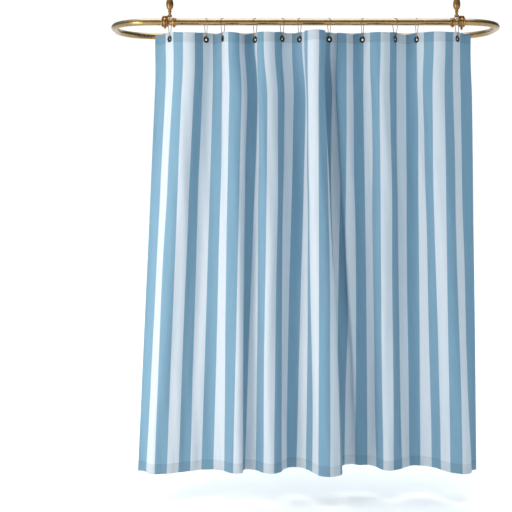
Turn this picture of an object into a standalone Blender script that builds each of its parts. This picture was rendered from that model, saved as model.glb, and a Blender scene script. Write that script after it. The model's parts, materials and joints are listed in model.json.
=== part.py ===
"""Striped shower curtain on an oval brass rail with two ceiling supports.

Row frame: metres, +X along the rail, -Y towards the room, +Z up.  The origin is on the
ceiling, above the middle of the rail.
"""

import math

import bmesh
import bpy
from mathutils import Matrix, Vector

# ---- rail ----------------------------------------------------------------------------
DROP = 0.300                    # ceiling to the middle of the rail tube
TUBE_R = 0.014
TUBE_WALL = 0.0015
HALF_DEPTH = 0.200              # the two long runs lie at -Y and +Y
HALF_LENGTH = 0.8235
BEND_R = 0.165
BEND_STEPS = 9
TUBE_SIDES = 20
GAP = 0.0003                    # clearance between touching pieces

# ---- ceiling supports ----------------------------------------------------------------
ROD_X = (-0.571, 0.6225)
SIDE = (-1, 1)                  # which way the barrel lies from the rod
BARREL_OFF = 0.0205             # rod axis to barrel middle
BARREL_W = 0.026
BARREL_R = 0.0215
COLLAR_OFF = 0.0175
COLLAR_W = 0.019
COLLAR_R = 0.0180
LUG_UNDER = 0.0195              # height of the lug's underside above the tube's axis
LUG_TOP = 0.0252
LUG_REACH = 0.0085              # past the rod's axis
LUG_HALF_Y = 0.0095
FLANGE_R = 0.038
FLANGE_T = 0.012
SCREW_RING = 0.027
FINIAL_DROP = (0.0070, 0.0130)  # how far each set screw stands out under its barrel

# ---- curtain -------------------------------------------------------------------------
CLOTH_W = 1.9812
CLOTH_H = 1.8288
CLOTH_T = 0.0010
TOP_DROP = 0.0430               # rail axis to the top edge
EYELET_DROP = 0.0720            # rail axis to the middle of an eyelet
STRIP = 0.0150                  # half-width of the flat place at each eyelet
HEADER = 0.060                  # height of the band that keeps the shape given by the hooks
UPPER = 0.280                   # height below the top edge where the free folds are set
LOWER = 1.705                   # and where they are set near the hem
HOLE_R = 0.0081
EYELET_R = 0.0140
EYELET_BORE = 0.0066
EYELET_BARREL = 0.0077
WIRE_R = 0.0013
HOOK_TOP_R = 0.0186             # wire centreline
HOOK_FOOT_R = 0.0058
HOOK_FOOT_RISE = 0.0030         # wire centreline above the eyelet's middle
HOOK_TURN = 28.0                # furthest a hook turns towards its eyelet, degrees
HOOK_TURN_PENNED = 16.0         # the two hooks beside the supports

HOOK_X = (-0.571, -0.421, -0.3505, -0.213, -0.105, -0.030,
          0.091, 0.233, 0.366, 0.458, 0.6225)

# Folds from the left edge to the right.  Each has X, and how far in front of (minus) or
# behind the rail the cloth stands: at the hooks, at UPPER and at LOWER.
FOLDS = (
    (-0.635, 0.025, -0.640, 0.035, -0.700, -0.015),
    (-0.495, -0.055, -0.505, -0.050, -0.620, -0.080),
    (-0.390, 0.020, -0.400, 0.020, -0.405, -0.005),
    (-0.310, -0.050, -0.290, -0.055, -0.285, -0.070),
    (-0.235, 0.020, -0.225, 0.010, -0.250, 0.000),
    (-0.180, -0.070, -0.180, -0.070, -0.150, -0.075),
    (-0.060, 0.010, -0.035, 0.030, -0.055, 0.030),
    (0.030, -0.125, 0.035, -0.105, 0.085, -0.115),
    (0.110, 0.005, 0.110, 0.015, 0.195, 0.070),
    (0.135, -0.035, 0.135, -0.040, 0.220, 0.055),
    (0.210, 0.020, 0.235, 0.025, 0.260, 0.060),
    (0.290, -0.060, 0.295, -0.045, 0.340, -0.030),
    (0.420, 0.025, 0.420, 0.035, 0.465, 0.055),
    (0.525, -0.075, 0.525, -0.075, 0.640, -0.075),
    (0.685, 0.015, 0.690, 0.005, 0.710, -0.010),
)

# ---- finishes: name, colour, metallic, roughness ----------------------------------------
FINISHES = {
    "brass": ((0.62, 0.46, 0.20, 1.0), 1.0, 0.32),
    "dark_brass": ((0.42, 0.29, 0.12, 1.0), 1.0, 0.40),
    "steel": ((0.45, 0.43, 0.38, 1.0), 1.0, 0.35),
    "wire": ((0.50, 0.40, 0.24, 1.0), 1.0, 0.30),
    "black_metal": ((0.02, 0.025, 0.03, 1.0), 0.6, 0.45),
    "fabric": ((0.30, 0.47, 0.60, 1.0), 0.0, 0.85),
}


def clear_scene():
    """Start from an empty scene."""
    for old in list(bpy.data.objects):
        bpy.data.objects.remove(old, do_unlink=True)


def collection(name):
    """A collection linked to the scene."""
    made = bpy.data.collections.new(name)
    bpy.context.scene.collection.children.link(made)
    return made


def finish(node, kind):
    """Give a node its own material."""
    colour, metallic, roughness = FINISHES[kind]
    made = bpy.data.materials.new(node.name + "_" + kind)
    made.use_nodes = True
    shader = made.node_tree.nodes["Principled BSDF"]
    shader.inputs["Base Color"].default_value = colour
    shader.inputs["Metallic"].default_value = metallic
    shader.inputs["Roughness"].default_value = roughness
    node.data.materials.clear()
    node.data.materials.append(made)


def from_mesh(name, verts, faces, kind, where):
    """A node from a vertex and face list."""
    mesh = bpy.data.meshes.new(name)
    mesh.from_pydata(verts, [], faces)
    mesh.validate()
    node = bpy.data.objects.new(name, mesh)
    where.objects.link(node)
    face_outwards(node)
    finish(node, kind)
    return node


def face_outwards(node):
    """Turn every face of a closed mesh outwards."""
    work = bmesh.new()
    work.from_mesh(node.data)
    bmesh.ops.recalc_face_normals(work, faces=work.faces)
    work.to_mesh(node.data)
    work.free()


def revolved(name, profile, sides, place, kind, where):
    """A closed body turned about its own Z.  profile: closed loop, or open from axis to axis."""
    verts = []
    index = []
    for radius, height in profile:
        if radius < 1e-7:
            index.append([len(verts)] * sides)
            verts.append(place @ Vector((0, 0, height)))
            continue
        ring = []
        for k in range(sides):
            turn = 2 * math.pi * k / sides
            ring.append(len(verts))
            verts.append(place @ Vector((radius * math.cos(turn), radius * math.sin(turn), height)))
        index.append(ring)
    closed = profile[0][0] > 1e-7 and profile[-1][0] > 1e-7
    rings = list(zip(index, index[1:] + index[:1])) if closed else list(zip(index, index[1:]))
    faces = []
    for low, high in rings:
        for k in range(sides):
            nxt = (k + 1) % sides
            corners = [low[k], low[nxt], high[nxt], high[k]]
            face = [c for n, c in enumerate(corners) if c not in corners[:n]]
            if len(face) > 2:
                faces.append(face)
    return from_mesh(name, verts, faces, kind, where)


def swept(path, radius, sides, across, closed):
    """Rings of a round section along a flat path.  across: the flat's normal."""
    rings = []
    count = len(path)
    for k, here in enumerate(path):
        before = path[k - 1] if closed or k else here
        after = path[(k + 1) % count] if closed or k < count - 1 else here
        along = (after - before).normalized()
        side = along.cross(across).normalized()
        other = side.cross(along)
        ring = []
        for n in range(sides):
            turn = 2 * math.pi * (n + 0.5) / sides
            ring.append(here + side * radius * math.cos(turn) + other * radius * math.sin(turn))
        rings.append(ring)
    return rings


def tube_faces(rings, start, closed):
    """Side faces between successive rings."""
    faces = []
    count = len(rings)
    sides = len(rings[0])
    for k in range(count if closed else count - 1):
        low = start + k * sides
        high = start + ((k + 1) % count) * sides
        for n in range(sides):
            nxt = (n + 1) % sides
            faces.append([low + n, low + nxt, high + nxt, high + n])
    return faces


def hollow_tube(name, path, outer, inner, kind, where):
    """A tube with a wall, open at both ends."""
    upward = Vector((0, 0, 1))
    skin = swept(path, outer, TUBE_SIDES, upward, False)
    bore = swept(path, inner, TUBE_SIDES, upward, False)
    verts = [v for ring in skin for v in ring]
    start = len(verts)
    verts += [v for ring in bore for v in ring]
    faces = tube_faces(skin, 0, False) + tube_faces(bore, start, False)
    last = (len(path) - 1) * TUBE_SIDES
    for base in (0, last):
        for n in range(TUBE_SIDES):
            nxt = (n + 1) % TUBE_SIDES
            faces.append([base + n, base + nxt, start + base + nxt, start + base + n])
    return from_mesh(name, verts, faces, kind, where)


def rail_path(side, start_x):
    """Centreline of one bent end, from the front joint round to the middle of the back run."""
    end = HALF_LENGTH - BEND_R
    path = [Vector((start_x, -HALF_DEPTH, -DROP))]
    for k in range(BEND_STEPS + 1):
        turn = math.pi / 2 * k / BEND_STEPS
        x = end + BEND_R * math.sin(turn)
        y = -HALF_DEPTH + BEND_R * (1 - math.cos(turn))
        path.append(Vector((side * x, y, -DROP)))
    for k in range(BEND_STEPS + 1):
        turn = math.pi / 2 * k / BEND_STEPS
        x = end + BEND_R * math.cos(turn)
        y = HALF_DEPTH - BEND_R * (1 - math.sin(turn))
        path.append(Vector((side * x, y, -DROP)))
    path.append(Vector((side * GAP / 2, HALF_DEPTH, -DROP)))
    return path


def applied(node):
    """Keep a node's modified shape as its mesh."""
    bpy.context.view_layer.update()
    ready = node.evaluated_get(bpy.context.evaluated_depsgraph_get())
    mesh = bpy.data.meshes.new_from_object(ready)
    node.modifiers.clear()
    old = node.data
    node.data = mesh
    bpy.data.meshes.remove(old)


def combine(node, other, how):
    """Weld another closed body onto a node (UNION) or take it out of it (DIFFERENCE)."""
    tool = node.modifiers.new("combine", "BOOLEAN")
    tool.operation = how
    tool.solver = "EXACT"
    tool.object = other
    applied(node)
    bpy.data.objects.remove(other, do_unlink=True)


def barrel_x(n):
    """Middle of a support's barrel along the rail."""
    return ROD_X[n] + SIDE[n] * BARREL_OFF


def build_rail(where):
    """Front tube, two bent ends meeting it inside the barrels, and the joint at the back."""
    outer, inner = TUBE_R, TUBE_R - TUBE_WALL
    left, right = barrel_x(0), barrel_x(1)
    front = [Vector((x, -HALF_DEPTH, -DROP)) for x in (left + GAP, right - GAP)]
    hollow_tube("rail_front_tube", front, outer, inner, "brass", where)
    hollow_tube("rail_left_end", rail_path(-1, left), outer, inner, "brass", where)
    hollow_tube("rail_right_end", rail_path(1, right), outer, inner, "brass", where)
    sleeve = [Vector((x, HALF_DEPTH, -DROP)) for x in (-0.030, 0.030)]
    hollow_tube("rail_back_sleeve", sleeve, inner - GAP - 0.0002, inner - 0.0026,
                "steel", where)
    for side, name in ((-1, "left"), (1, "right")):
        grub_screw(side, name, where)


def grub_screw(side, name, where):
    """Small screw under the back run that holds the sleeve."""
    profile = [(0, 0.0022), (0.0026, 0.0022), (0.0031, 0.0016), (0.0031, 0.0003), (0, 0.0003)]
    place = Matrix.Translation((side * 0.018, HALF_DEPTH, -DROP - TUBE_R)) @ flip()
    revolved("rail_grub_screw_" + name, profile, 12, place, "steel", where)


def flip():
    """Half a turn about X, so that a profile points down."""
    return Matrix.Rotation(math.pi, 4, "X")


def along_x(x):
    """Local Z laid along the rail's X, at the front run."""
    return Matrix.Translation((x, -HALF_DEPTH, -DROP)) @ Matrix.Rotation(math.pi / 2, 4, "Y")


def build_barrel(n, name, where):
    """Turned barrel round the rail joint, with a lug that reaches over to the rod."""
    half = BARREL_W / 2
    bore = TUBE_R + GAP
    profile = [
        (bore, -half), (BARREL_R - 0.003, -half), (BARREL_R - 0.0005, -half + 0.0025),
        (BARREL_R - 0.0005, -half + 0.006), (BARREL_R - 0.0025, -half + 0.0075),
        (BARREL_R - 0.0025, half - 0.0075), (BARREL_R - 0.0005, half - 0.006),
        (BARREL_R - 0.0005, half - 0.0025), (BARREL_R - 0.003, half), (bore, half),
    ]
    barrel = revolved("tee_barrel_" + name, profile, 24, along_x(barrel_x(n)), "brass", where)
    bpy.ops.object.select_all(action="DESELECT")
    near = ROD_X[n] - SIDE[n] * LUG_REACH
    far = barrel_x(n) + SIDE[n] * half * 0.8
    middle = ((near + far) / 2, -HALF_DEPTH, -DROP + (LUG_UNDER + LUG_TOP) / 2)
    bpy.ops.mesh.primitive_cube_add(size=1.0, location=middle)
    lug = bpy.context.object
    lug.scale = (abs(far - near), 2 * LUG_HALF_Y, LUG_TOP - LUG_UNDER)
    bpy.ops.object.transform_apply(location=False, rotation=False, scale=True)
    combine(barrel, lug, "UNION")
    foot = Matrix.Translation((barrel_x(n), -HALF_DEPTH, -DROP - TUBE_R + 0.002)) @ flip()
    drill = revolved("drill", [(0, 0), (0.0033, 0), (0.0033, 0.02), (0, 0.02)], 12, foot,
                     "steel", where)
    combine(barrel, drill, "DIFFERENCE")


def build_finial(n, name, where):
    """Pointed set screw under the barrel."""
    out = BARREL_R + FINIAL_DROP[n]
    shank = 0.0030
    profile = [
        (0, TUBE_R + GAP), (shank, TUBE_R + GAP), (shank, BARREL_R + GAP),
        (0.0062, BARREL_R + GAP), (0.0066, BARREL_R + 0.0016), (0.0048, BARREL_R + 0.0030),
        (0.0040, BARREL_R + 0.55 * FINIAL_DROP[n]), (0.0018, out - 0.0012), (0, out),
    ]
    place = Matrix.Translation((barrel_x(n), -HALF_DEPTH, -DROP)) @ flip()
    revolved("finial_" + name, profile, 14, place, "brass", where)


def build_rod(n, name, where):
    """Turned baluster rod from the lug to the ceiling flange."""
    foot = LUG_TOP + GAP
    profile = [
        (0, foot), (0.0085, foot), (0.0092, foot + 0.003), (0.0058, foot + 0.006),
        (0.0052, foot + 0.014), (0.0080, foot + 0.018), (0.0055, foot + 0.022),
        (0.0100, foot + 0.028), (0.0148, foot + 0.040), (0.0152, foot + 0.050),
        (0.0120, foot + 0.066), (0.0070, foot + 0.084), (0.0105, foot + 0.089),
        (0.0105, foot + 0.094), (0.0068, foot + 0.099), (0.0068, DROP - FLANGE_T - 0.016),
        (0.0110, DROP - FLANGE_T - 0.010), (0.0110, DROP - FLANGE_T - 0.006),
        (0.0068, DROP - FLANGE_T - 0.003), (0.0068, DROP - 0.004), (0, DROP - 0.004),
    ]
    place = Matrix.Translation((ROD_X[n], -HALF_DEPTH, -DROP))
    revolved("drop_rod_" + name, profile, 18, place, "brass", where)


def build_flange(n, name, where):
    """Ceiling rose with three countersunk screws."""
    profile = [
        (0, 0), (FLANGE_R, 0), (FLANGE_R, 0.003), (FLANGE_R - 0.005, 0.0055),
        (0.0155, 0.0075), (0.0130, FLANGE_T), (0.0072, FLANGE_T), (0.0072, 0.0036),
        (0, 0.0036),
    ]
    place = Matrix.Translation((ROD_X[n], -HALF_DEPTH, 0)) @ flip()
    flange = revolved("ceiling_flange_" + name, profile, 28, place, "brass", where)
    for k in range(3):
        turn = math.radians(90 + 120 * k)
        x = ROD_X[n] + SCREW_RING * math.cos(turn)
        y = -HALF_DEPTH + SCREW_RING * math.sin(turn)
        spot = Matrix.Translation((x, y, 0)) @ flip()
        drill = revolved("drill", [(0, -0.002), (0.0027, -0.002), (0.0027, 0.0028),
                                   (0.0056, 0.0060), (0.0056, 0.020), (0, 0.020)],
                         12, spot, "steel", where)
        combine(flange, drill, "DIFFERENCE")
        head = [(0, 0.0002), (0.0023, 0.0002), (0.0023, 0.0029), (0.0050, 0.0058),
                (0.0046, 0.0068), (0, 0.0074)]
        revolved("flange_screw_%s_%d" % (name, k + 1), head, 12, spot, "dark_brass", where)


def build_collar(n, name, where):
    """Stop collar that pens the end hook, with its thumb screw."""
    half = COLLAR_W / 2
    bore = TUBE_R + GAP
    x = ROD_X[n] - SIDE[n] * COLLAR_OFF
    profile = [
        (bore, -half), (COLLAR_R - 0.0022, -half), (COLLAR_R, -half + 0.0035),
        (COLLAR_R, half - 0.0035), (COLLAR_R - 0.0022, half), (bore, half),
    ]
    collar = revolved("stop_collar_" + name, profile, 20, along_x(x), "brass", where)
    under = Matrix.Translation((x, -HALF_DEPTH, -DROP)) @ flip()
    drill = revolved("drill", [(0, 0.012), (0.0023, 0.012), (0.0023, 0.03), (0, 0.03)],
                     12, under, "steel", where)
    combine(collar, drill, "DIFFERENCE")
    profile = [
        (0, TUBE_R + GAP), (0.0020, TUBE_R + GAP), (0.0020, COLLAR_R + GAP),
        (0.0042, COLLAR_R + GAP), (0.0042, COLLAR_R + 0.0034), (0.0030, COLLAR_R + 0.0042),
        (0, COLLAR_R + 0.0042),
    ]
    revolved("collar_screw_" + name, profile, 12, under, "dark_brass", where)


def fold_shape(reach, back):
    """Steepest angle and cloth length of half a fold that spans reach and depth back."""
    best = 0.0
    step = 0.4
    target = abs(back) / reach
    while step > 1e-5:
        if slope_of(best + step) < target:
            best += step
        else:
            step /= 2
    across, _ = half_fold(best)
    return math.copysign(best, back), reach / across


def half_fold(steep):
    """How far across and back a half fold of unit length goes."""
    count = 40
    across = sum(math.cos(steep * math.sin(math.pi * (k + 0.5) / count)) for k in range(count))
    back = sum(math.sin(steep * math.sin(math.pi * (k + 0.5) / count)) for k in range(count))
    return across / count, back / count


def slope_of(steep):
    """Depth over width of a half fold."""
    if steep >= 2.3:
        return 1e9
    across, back = half_fold(steep)
    return back / max(across, 1e-6)


def fold_at(fold, height):
    """X and depth of a fold at a height below the top edge.

    The folds hang in straight lines.  Above UPPER the hooks pull them to their own places.
    """
    top_x, top_depth, upper_x, upper_depth, lower_x, lower_depth = fold
    hang = (max(height, HEADER) - UPPER) / (LOWER - UPPER)
    free = min(1.0, max(0.0, (height - HEADER) / (UPPER - HEADER)))
    free = free * free * (3.0 - 2.0 * free)
    x = upper_x + (lower_x - upper_x) * hang
    depth = upper_depth + (lower_depth - upper_depth) * hang
    return top_x + (x - top_x) * free, top_depth + (depth - top_depth) * free


def plan_at(height):
    """Left edge and half folds at a height, each half fold a steepest angle and a length.

    The depth is scaled until the folds use the whole width of the cloth.
    """
    points = [fold_at(fold, height) for fold in FOLDS]
    scale, step = 0.5, 0.5
    while step > 1e-4:
        parts = halves(points, scale + step)
        if sum(p[1] for p in parts) < CLOTH_W:
            scale += step
        else:
            step /= 2
    return points[0][0], points[0][1] * scale, halves(points, scale)


def halves(points, scale):
    """Each half fold's angle and length."""
    return [fold_shape(b[0] - a[0], (b[1] - a[1]) * scale) for a, b in zip(points, points[1:])]


def lean_at(along, parts):
    """Direction of the cloth in plan at a distance along it."""
    rest = along
    for steep, length in parts:
        if rest <= length:
            return steep * math.sin(math.pi * rest / length)
        rest -= length
    return 0.0


def walk(height, spots):
    """Plan of the cloth at a height: points and directions at the given distances along it."""
    x, y, parts = plan_at(height)
    fine = 0.002
    here = 0.0
    found = []
    for spot in spots:
        while here < spot - 1e-9:
            step = min(fine, spot - here)
            lean = lean_at(here + step / 2, parts)
            x += math.cos(lean) * step
            y += math.sin(lean) * step
            here += step
        found.append((x, y, lean_at(spot, parts)))
    return found


def eyelet_spots():
    """Distance along the cloth of each eyelet, where the cloth passes its hook."""
    count = int(CLOTH_W / 0.002)
    fine = [k * CLOTH_W / count for k in range(count + 1)]
    plan = walk(0.0, fine)
    spots = []
    for x in HOOK_X:
        near = min(range(len(fine)), key=lambda k: abs(plan[k][0] - x))
        spots.append(fine[near])
    return spots


def columns(spots):
    """Distances along the cloth of the mesh's columns, flat across each eyelet."""
    fixed = [0.0]
    for spot in spots:
        fixed += [spot - STRIP, spot + STRIP]
    fixed.append(CLOTH_W)
    out = [fixed[0]]
    for n, (a, b) in enumerate(zip(fixed, fixed[1:])):
        parts = 1 if n % 2 else max(1, round((b - a) / 0.024))
        out += [a + (b - a) * k / parts for k in range(1, parts + 1)]
    return out


def build_curtain(where):
    """The cloth: a thin folded sheet with a hole for each eyelet.  Returns the eyelets' places."""
    spots = eyelet_spots()
    cols = columns(spots)
    heights = [0.0, HEADER, 0.12, 0.17, 0.22, UPPER, 0.60, 0.95, 1.30, LOWER, CLOTH_H]
    verts = []
    for height in heights:
        for x, y, _ in walk(height, cols):
            verts.append(Vector((x, y - HALF_DEPTH, -DROP - TOP_DROP - height)))
    wide = len(cols)
    faces = []
    for r in range(len(heights) - 1):
        for c in range(wide - 1):
            a = r * wide + c
            faces.append([a, a + 1, a + wide + 1, a + wide])
    mesh = bpy.data.meshes.new("curtain_panel")
    mesh.from_pydata(verts, [], faces)
    panel = bpy.data.objects.new("curtain_panel", mesh)
    where.objects.link(panel)
    thick = panel.modifiers.new("thickness", "SOLIDIFY")
    thick.thickness = CLOTH_T
    thick.offset = 0.0
    thick.use_even_offset = True
    applied(panel)
    face_outwards(panel)
    places = []
    for spot in spots:
        near = min(range(wide), key=lambda k: abs(cols[k] - (spot - STRIP)))
        places.append(place_between(verts[near], verts[near + 1]))
        drill = revolved("drill", [(0, -0.01), (HOLE_R, -0.01), (HOLE_R, 0.01), (0, 0.01)],
                         14, eyelet_place(places[-1]), "steel", where)
        combine(panel, drill, "DIFFERENCE")
    face_outwards(panel)
    finish(panel, "fabric")
    return places


def place_between(a, b):
    """Middle and direction in plan of the flat place between two points of the cloth."""
    middle = (a + b) / 2
    return middle.x, middle.y, math.atan2(b.y - a.y, b.x - a.x)


def eyelet_place(place):
    """Local Z along the cloth's normal at an eyelet."""
    x, y, yaw = place
    turn = Matrix.Rotation(yaw, 4, "Z") @ Matrix.Rotation(math.pi / 2, 4, "X")
    down = math.sqrt(EYELET_DROP ** 2 - (y + HALF_DEPTH) ** 2)
    return Matrix.Translation((x, y, -DROP - down)) @ turn


def build_eyelet(n, place, where):
    """Two-flanged metal eyelet through the cloth."""
    skin = CLOTH_T / 2 + GAP
    edge = 0.0018
    profile = [
        (EYELET_BORE, -edge), (EYELET_R - 0.0008, -edge), (EYELET_R, -skin),
        (EYELET_BARREL, -skin), (EYELET_BARREL, skin), (EYELET_R, skin),
        (EYELET_R - 0.0008, edge), (EYELET_BORE, edge),
    ]
    revolved("eyelet_%02d" % (n + 1), profile, 14, eyelet_place(place), "black_metal", where)


def hook_outline():
    """Wire centreline in the hook's own plane: across and up from the rail's axis."""
    top = TUBE_R + 1.5 * GAP + WIRE_R
    middle = top - HOOK_TOP_R
    foot = -EYELET_DROP + HOOK_FOOT_RISE
    low = foot + HOOK_FOOT_R
    fall = math.atan2(HOOK_TOP_R - HOOK_FOOT_R, middle - low)
    points = []
    for k in range(13):
        turn = -fall + (math.pi + 2 * fall) * k / 12
        points.append((HOOK_TOP_R * math.cos(turn), middle + HOOK_TOP_R * math.sin(turn)))
    for k in range(7):
        turn = math.pi + fall + (math.pi - 2 * fall) * k / 6
        points.append((HOOK_FOOT_R * math.cos(turn), low + HOOK_FOOT_R * math.sin(turn)))
    return points


def build_hook(n, place, where):
    """Closed wire loop over the rail and through its eyelet, turned and leaning with the cloth."""
    x, y, yaw = place
    most = HOOK_TURN_PENNED if n in (0, len(HOOK_X) - 1) else HOOK_TURN
    turn = max(-most, min(most, math.degrees(yaw) * 0.6))
    lean = math.asin(max(-0.4, min(0.4, (y + HALF_DEPTH) / EYELET_DROP)))
    place_it = (Matrix.Translation((x, -HALF_DEPTH, -DROP))
                @ Matrix.Rotation(lean, 4, "X")
                @ Matrix.Rotation(math.radians(turn), 4, "Z"))
    path = [Vector((0, across, up)) for across, up in hook_outline()]
    rings = swept(path, WIRE_R, 8, Vector((1, 0, 0)), True)
    verts = [place_it @ v for ring in rings for v in ring]
    faces = tube_faces(rings, 0, True)
    from_mesh("hook_%02d" % (n + 1), verts, faces, "wire", where)


def build():
    """Build every piece."""
    clear_scene()
    where = collection("shower_curtain")
    build_rail(where)
    for n, name in enumerate(("left", "right")):
        build_flange(n, name, where)
        build_rod(n, name, where)
        build_barrel(n, name, where)
        build_finial(n, name, where)
        build_collar(n, name, where)
    for n, place in enumerate(build_curtain(where)):
        build_eyelet(n, place, where)
        build_hook(n, place, where)


build()
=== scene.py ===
"""Striped shower curtain on an oval brass rail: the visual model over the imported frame.

Metres throughout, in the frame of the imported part: +X along the rail, -Y towards the room,
+Z up, with the origin on the ceiling above the middle of the rail.
"""

from __future__ import annotations

import json
import logging
import math
from dataclasses import dataclass, field
from enum import Enum

import bmesh
import bpy
import numpy as np
from mathutils import Matrix, Vector


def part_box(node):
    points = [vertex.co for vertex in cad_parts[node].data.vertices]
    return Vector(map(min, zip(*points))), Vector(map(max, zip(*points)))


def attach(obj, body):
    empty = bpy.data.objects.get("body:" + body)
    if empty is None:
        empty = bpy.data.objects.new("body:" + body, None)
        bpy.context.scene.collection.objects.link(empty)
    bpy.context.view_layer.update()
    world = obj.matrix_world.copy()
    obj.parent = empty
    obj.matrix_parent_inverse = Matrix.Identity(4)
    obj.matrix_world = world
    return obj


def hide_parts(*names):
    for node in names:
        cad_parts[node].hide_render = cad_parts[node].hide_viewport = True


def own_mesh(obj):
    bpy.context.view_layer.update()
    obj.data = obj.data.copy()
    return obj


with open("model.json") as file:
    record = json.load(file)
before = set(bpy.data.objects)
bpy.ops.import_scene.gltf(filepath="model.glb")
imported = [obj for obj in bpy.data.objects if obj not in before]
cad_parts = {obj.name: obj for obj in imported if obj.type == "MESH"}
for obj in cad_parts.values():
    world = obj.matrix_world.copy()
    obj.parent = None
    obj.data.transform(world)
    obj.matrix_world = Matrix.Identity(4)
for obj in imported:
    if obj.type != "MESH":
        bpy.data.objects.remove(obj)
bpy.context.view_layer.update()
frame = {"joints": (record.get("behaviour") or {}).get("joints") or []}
LOG = logging.getLogger("shower_curtain")
HANGERS = 11


# ---------------------------------------------------------------------------------------
# Named options
# ---------------------------------------------------------------------------------------


class Hand(Enum):
    """Which end of the rail a fitting belongs to."""

    LEFT = "left"
    RIGHT = "right"

    @property
    def outward(self) -> float:
        """Direction along X from the rod to the rail's near end."""
        return -1.0 if self is Hand.LEFT else 1.0


class Face(Enum):
    """Which side of the cloth a hem lies on."""

    ROOM = -1.0
    BATH = 1.0


# ---------------------------------------------------------------------------------------
# Small workshop helpers
# ---------------------------------------------------------------------------------------


def linear(code: str) -> tuple[float, float, float, float]:
    """Turn an sRGB hex value into a linear colour.

    Args:
        code: Six hex digits, with or without a leading hash.

    Returns:
        The colour as red, green, blue and alpha.
    """
    code = code.lstrip("#")
    out = []
    for k in (0, 2, 4):
        value = int(code[k : k + 2], 16) / 255.0
        out.append(value / 12.92 if value <= 0.04045 else ((value + 0.055) / 1.055) ** 2.4)
    return (out[0], out[1], out[2], 1.0)


def middle_of(node: str) -> Vector:
    """Return the middle of a CAD node's box."""
    low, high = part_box(node)
    return (Vector(low) + Vector(high)) / 2


def free_hands() -> None:
    """Leave edit mode and deselect everything."""
    if bpy.context.object is not None and bpy.context.object.mode != "OBJECT":
        bpy.ops.object.mode_set(mode="OBJECT")
    bpy.ops.object.select_all(action="DESELECT")


def take_up(piece: bpy.types.Object) -> None:
    """Make a piece the only selected and the active one.

    Args:
        piece: The piece to work on.
    """
    free_hands()
    piece.select_set(True)
    bpy.context.view_layer.objects.active = piece


def settle(piece: bpy.types.Object, place: Matrix | None = None) -> bpy.types.Object:
    """Merge doubles, close and turn the shell outwards, and put the place into the mesh.

    Args:
        piece: The piece to settle.
        place: Where it goes, or None where it is already in place.

    Returns:
        The same piece, at the origin.
    """
    if piece.mode != "OBJECT":
        bpy.ops.object.mode_set(mode="OBJECT")
    piece.data.transform(piece.matrix_basis)
    piece.matrix_basis = Matrix.Identity(4)
    if place is not None:
        piece.data.transform(place)
    work = bmesh.new()
    work.from_mesh(piece.data)
    bmesh.ops.remove_doubles(work, verts=work.verts, dist=0.00002)
    bmesh.ops.recalc_face_normals(work, faces=work.faces)
    work.to_mesh(piece.data)
    work.free()
    piece.data.update()
    return piece


def soften(piece: bpy.types.Object, degrees: float = 35.0) -> None:
    """Shade smooth, keeping edges sharper than an angle.

    Args:
        piece: The piece to shade.
        degrees: The sharpest angle that is still smoothed.
    """
    take_up(piece)
    bpy.ops.object.shade_smooth_by_angle(angle=math.radians(degrees))
    piece.select_set(False)


def twin(piece: bpy.types.Object, name: str, place: Matrix) -> bpy.types.Object:
    """Copy a piece with its own mesh to another place.

    Args:
        piece: The pattern, modelled about the origin.
        name: The copy's name.
        place: Where the copy goes.

    Returns:
        The copy, at the origin with its place in its mesh.
    """
    made = piece.copy()
    made.data = piece.data.copy()
    made.name = name
    made.data.name = name
    made.data.transform(place)
    made.data.update()
    bpy.context.scene.collection.objects.link(made)
    return made


def discard(piece: bpy.types.Object) -> None:
    """Remove a pattern that has been copied."""
    bpy.data.objects.remove(piece, do_unlink=True)


def lathe(
    name: str, outline: list[tuple[float, float]], sides: int, closed: bool = False
) -> bpy.types.Object:
    """Turn a piece about Z from a circle that is extruded and resized ring by ring.

    Args:
        name: The piece's name.
        outline: Radius and height of each ring, in order.
        sides: Corners of each ring.
        closed: True for a ring-shaped piece whose last ring meets the first.

    Returns:
        The piece, about the origin.
    """
    free_hands()
    radius, height = outline[0]
    bpy.ops.mesh.primitive_circle_add(
        vertices=sides, radius=radius, fill_type="NOTHING" if closed else "NGON",
        location=(0, 0, height),
    )
    piece = bpy.context.object
    piece.name = name
    piece.data.name = name
    bpy.ops.object.mode_set(mode="EDIT")
    bpy.ops.mesh.select_all(action="SELECT")
    rings = outline[1:] + (outline[:1] if closed else [])
    for new_radius, new_height in rings:
        if closed:
            bpy.ops.mesh.extrude_edges_move(
                TRANSFORM_OT_translate={"value": (0, 0, new_height - height)}
            )
        else:
            bpy.ops.mesh.extrude_region_move(
                TRANSFORM_OT_translate={"value": (0, 0, new_height - height)}
            )
        factor = new_radius / radius
        bpy.ops.transform.resize(
            value=(factor, factor, 1.0), center_override=(0, 0, new_height)
        )
        radius, height = new_radius, new_height
    bpy.ops.object.mode_set(mode="OBJECT")
    return settle(piece)


# ---------------------------------------------------------------------------------------
# Finishes
# ---------------------------------------------------------------------------------------


@dataclass(frozen=True)
class Finish:
    """A material's name and its shader tree, built through one node-adding function."""

    name: str

    def start(self) -> tuple[bpy.types.Material, bpy.types.NodeTree, bpy.types.Node]:
        """Make an empty material.

        Returns:
            The material, its tree and its Principled shader.
        """
        made = bpy.data.materials.new(self.name)
        made.use_nodes = True
        tree = made.node_tree
        return made, tree, tree.nodes["Principled BSDF"]


def add(
    tree: bpy.types.NodeTree, kind: str, values: dict | None = None, **settings: object
) -> bpy.types.Node:
    """Add one node with its settings, input values and links.

    Args:
        tree: The tree to add to.
        kind: The node's type name.
        values: Input name or number to a value, or to an output socket to link.
        **settings: Attributes of the node.

    Returns:
        The new node.
    """
    node = tree.nodes.new(kind)
    for key, value in settings.items():
        setattr(node, key, value)
    for key, value in (values or {}).items():
        if isinstance(value, bpy.types.NodeSocket):
            tree.links.new(value, node.inputs[key])
        else:
            node.inputs[key].default_value = value
    return node


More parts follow.
